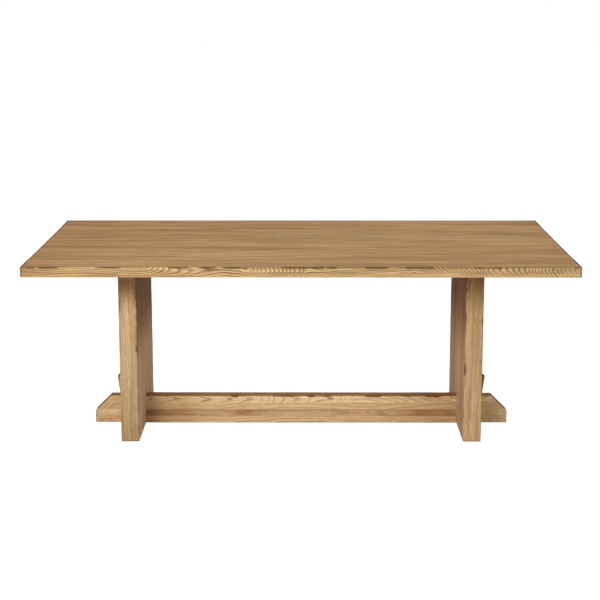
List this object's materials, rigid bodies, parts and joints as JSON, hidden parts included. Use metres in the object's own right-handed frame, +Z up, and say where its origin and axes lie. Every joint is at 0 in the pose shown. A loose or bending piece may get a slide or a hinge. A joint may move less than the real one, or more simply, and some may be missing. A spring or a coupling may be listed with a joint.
{
  "type": "trestle dining table",
  "caption": "Long dining table with a thick plank top on slab legs, tied by a low stretcher whose through tenons are held by removable wedges.",
  "frame": {"origin": "on the floor under the middle of the top", "axes": "+X along the table's length, +Y from its front to its back, +Z up"},
  "size_m": [2.08, 1.064, 0.762],
  "materials": {
    "top_oak": "oiled",
    "leg_oak": "oiled",
    "stretcher_oak": "oiled",
    "wedge_oak": "oiled",
    "spline_wood": "bare",
    "plate_steel": "matt black",
    "fastener_steel": "zinc plated",
    "felt": "pressed felt"
  },
  "bodies": {
    "table": {"top_board_1": "top_oak", "top_board_2": "top_oak", "top_board_3": "top_oak", "top_board_4": "top_oak", "top_board_5": "top_oak", "top_board_6": "top_oak", "top_board_7": "top_oak", "left_leg_board_1": "leg_oak", "left_leg_board_2": "leg_oak", "left_leg_board_3": "leg_oak", "left_leg_board_4": "leg_oak", "left_leg_board_5": "leg_oak", "right_leg_board_1": "leg_oak", "right_leg_board_2": "leg_oak", "right_leg_board_3": "leg_oak", "right_leg_board_4": "leg_oak", "right_leg_board_5": "leg_oak", "stretcher_layer_1": "stretcher_oak", "stretcher_layer_2": "stretcher_oak", "stretcher_layer_3": "stretcher_oak", "stretcher_layer_4": "stretcher_oak", "left_plate": "plate_steel", "right_plate": "plate_steel", "top_splines": "spline_wood", "leg_splines": "spline_wood", "plate_screws": "fastener_steel", "coach_screws": "fastener_steel", "foot_glides": "felt"},
    "left_wedge": {"left_wedge": "wedge_oak"},
    "right_wedge": {"right_wedge": "wedge_oak"}
  },
  "joints": [
    {"name": "left_wedge_slide", "type": "slide", "parent": "table", "child": "left_wedge", "axis": [0, 0, 1], "range_m": [0, 0.12]},
    {"name": "right_wedge_slide", "type": "slide", "parent": "table", "child": "right_wedge", "axis": [0, 0, 1], "range_m": [0, 0.12]}
  ]
}
